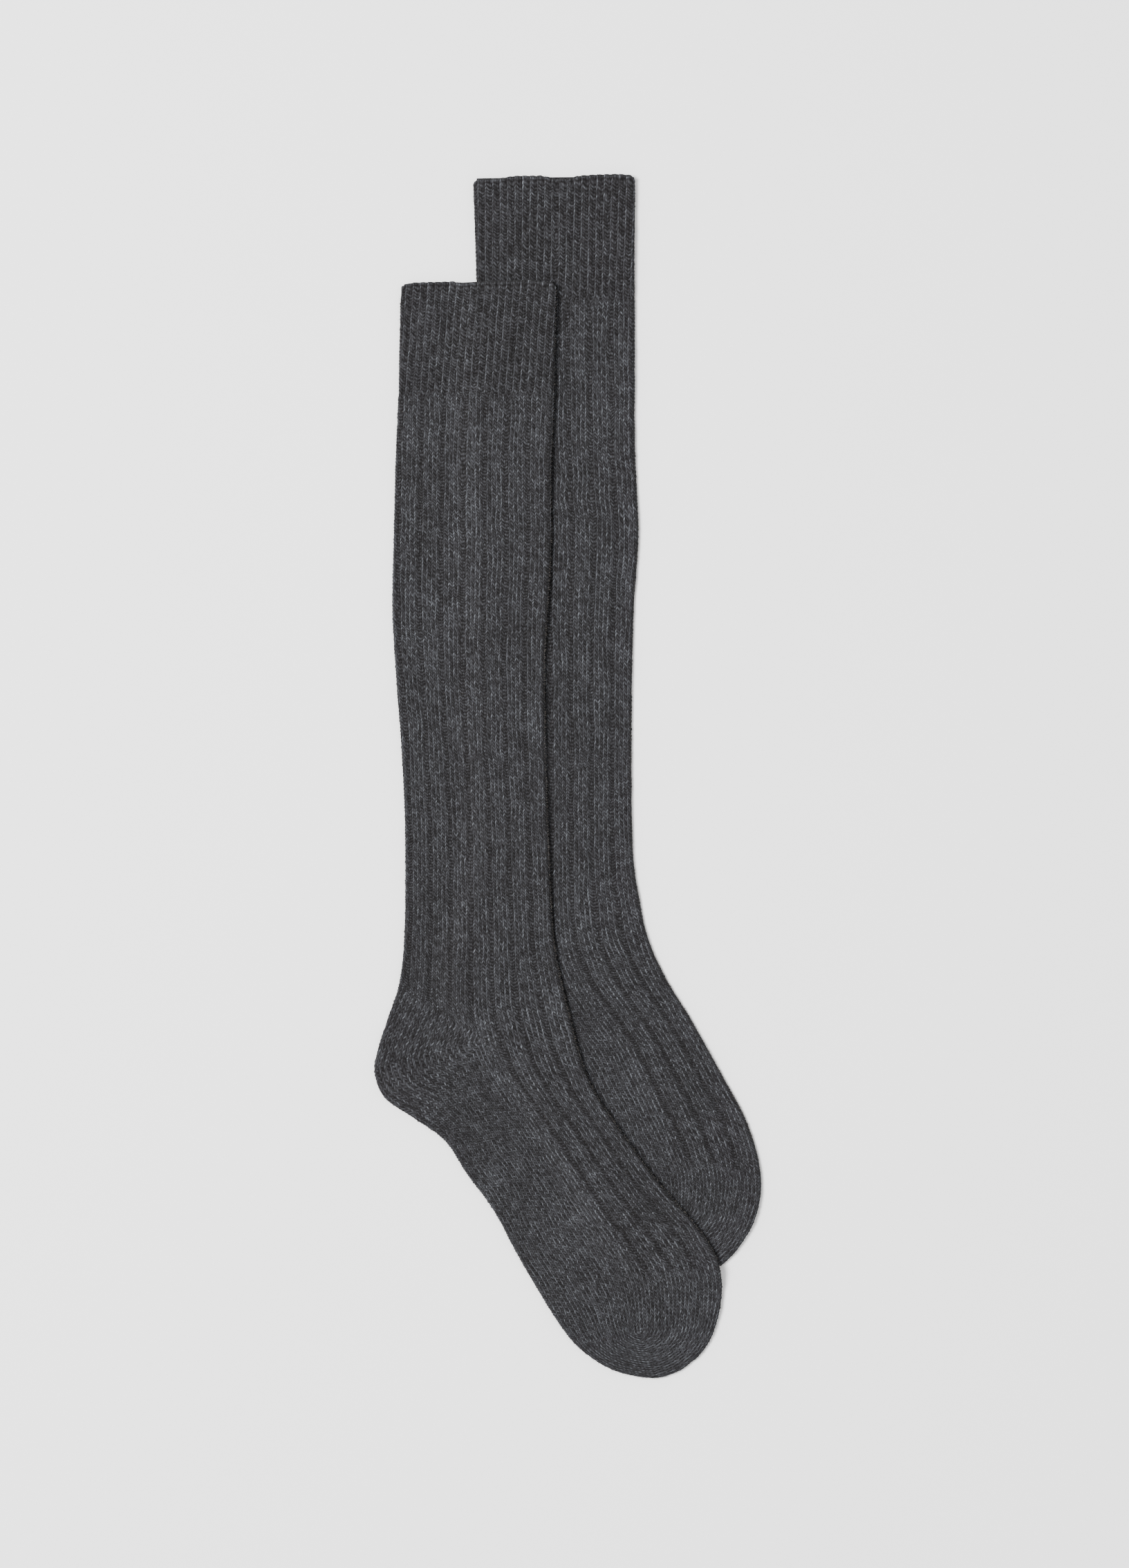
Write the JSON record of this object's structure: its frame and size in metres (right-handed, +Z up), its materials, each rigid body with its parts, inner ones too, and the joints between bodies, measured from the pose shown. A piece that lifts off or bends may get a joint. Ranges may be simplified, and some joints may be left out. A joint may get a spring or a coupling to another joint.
{
  "type": "pair of long socks",
  "caption": "Pair of knee-high ribbed knitted socks laid flat, one partly over the other, with fine-rib cuffs, wide-rib legs and insteps, and plain heels, soles and toes.",
  "frame": {"origin": "centre of the pair's footprint, on the surface that the socks lie on", "axes": "+Z up, +Y from the toes to the cuffs, +X the way the toes point"},
  "size_m": [0.1961, 0.6079, 0.0105],
  "materials": {
    "sock_front_knit": "charcoal marl wool knit, matt and slightly fuzzy",
    "sock_back_knit": "charcoal marl wool knit, matt and slightly fuzzy"
  },
  "bodies": {
    "root": {"sock_front": "sock_front_knit", "sock_back": "sock_back_knit"}
  },
  "joints": []
}
